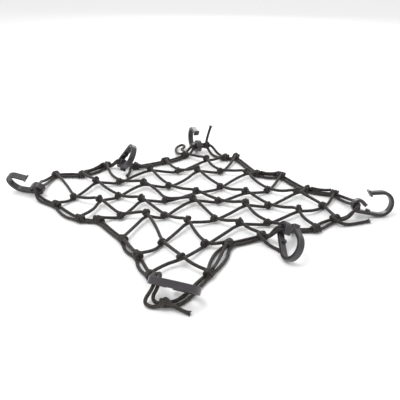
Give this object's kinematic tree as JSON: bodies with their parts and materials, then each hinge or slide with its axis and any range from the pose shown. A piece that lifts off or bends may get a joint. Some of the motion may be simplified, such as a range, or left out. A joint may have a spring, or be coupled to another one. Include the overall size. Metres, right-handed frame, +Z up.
{
  "type": "elastic cargo net",
  "caption": "Square net of knotted elastic cord with a doubled border and plastic J hooks that swing on the border cords, laid loosely.",
  "frame": {"origin": "on the ground under the middle of the box around the whole laid-out net", "axes": "+X along the long diagonal from the left hook to the right hook, +Y from the front corner to the back corner, +Z up"},
  "size_m": [0.6441, 0.5632, 0.058],
  "materials": {
    "braided_cord": "woven, slight sheen",
    "rubber_core": "matte",
    "hook_plastic": "semi-gloss, moulded"
  },
  "bodies": {
    "net": {"border_inner_back_right": "braided_cord", "border_inner_left_back": "braided_cord", "border_inner_left_front": "braided_cord", "border_inner_right_front": "braided_cord", "border_knots_back_right": "braided_cord", "border_knots_left_back": "braided_cord", "border_knots_left_front": "braided_cord", "border_knots_right_front": "braided_cord", "border_outer_back_right": "braided_cord", "border_outer_left_back": "braided_cord", "border_outer_left_front": "braided_cord", "border_outer_right_front": "braided_cord", "border_third_back_right": "braided_cord", "border_third_left_back": "braided_cord", "border_third_left_front": "braided_cord", "border_third_right_front": "braided_cord", "corner_back": "braided_cord", "corner_front": "braided_cord", "corner_left": "braided_cord", "corner_right": "braided_cord", "cut_end_back": "braided_cord", "cut_end_front": "braided_cord", "cut_end_right": "braided_cord", "cut_end_side_left": "braided_cord", "cut_end_side_right": "braided_cord", "end_knot_back": "braided_cord", "end_knot_front": "braided_cord", "mesh_cord_a1": "braided_cord", "mesh_cord_a2": "braided_cord", "mesh_cord_a3": "braided_cord", "mesh_cord_a4": "braided_cord", "mesh_cord_a5": "braided_cord", "mesh_cord_a6": "braided_cord", "mesh_cord_b1": "braided_cord", "mesh_cord_b2": "braided_cord", "mesh_cord_b3": "braided_cord", "mesh_cord_b4": "braided_cord", "mesh_cord_b5": "braided_cord", "mesh_cord_b6": "braided_cord", "mesh_knots_a1": "braided_cord", "mesh_knots_a2": "braided_cord", "mesh_knots_a3": "braided_cord", "mesh_knots_a4": "braided_cord", "mesh_knots_a5": "braided_cord", "mesh_knots_a6": "braided_cord", "rubber_core_border": "rubber_core", "rubber_core_corners": "rubber_core", "rubber_core_ends": "rubber_core", "rubber_core_mesh_a": "rubber_core", "rubber_core_mesh_b": "rubber_core", "slack_bight": "braided_cord"},
    "hook_back": {"hook_back": "hook_plastic"},
    "hook_front": {"hook_front": "hook_plastic"},
    "hook_left": {"hook_left": "hook_plastic"},
    "hook_right": {"hook_right": "hook_plastic"},
    "hook_side_left": {"hook_side_left": "hook_plastic"},
    "hook_side_right": {"hook_side_right": "hook_plastic"}
  },
  "joints": [
    {"name": "hook_left_swing", "type": "hinge", "parent": "net", "child": "hook_left", "pos_m": [-0.265, 0.034, 0.016], "axis": [0.3008, 0.8538, 0.4249], "range_deg": [0, 135]},
    {"name": "hook_side_left_swing", "type": "hinge", "parent": "net", "child": "hook_side_left", "pos_m": [-0.137, 0.149, 0.0145], "axis": [0.8534, 0.2421, -0.4617], "range_deg": [-120, 10]},
    {"name": "hook_back_swing", "type": "hinge", "parent": "net", "child": "hook_back", "pos_m": [0.008, 0.224, 0.017], "axis": [0.9545, 0.289, -0.0731], "range_deg": [0, 145]},
    {"name": "hook_right_swing", "type": "hinge", "parent": "net", "child": "hook_right", "pos_m": [0.264, -0.038, 0.021], "axis": [0.1179, -0.973, 0.1986], "range_deg": [0, 150]},
    {"name": "hook_side_right_swing", "type": "hinge", "parent": "net", "child": "hook_side_right", "pos_m": [0.134, -0.123, 0.028], "axis": [-0.8379, -0.2462, 0.4872], "range_deg": [0, 175]},
    {"name": "hook_front_swing", "type": "hinge", "parent": "net", "child": "hook_front", "pos_m": [-0.042, -0.246, 0.025], "axis": [0.2344, 0.6229, 0.7463], "range_deg": [-175, 0]}
  ]
}
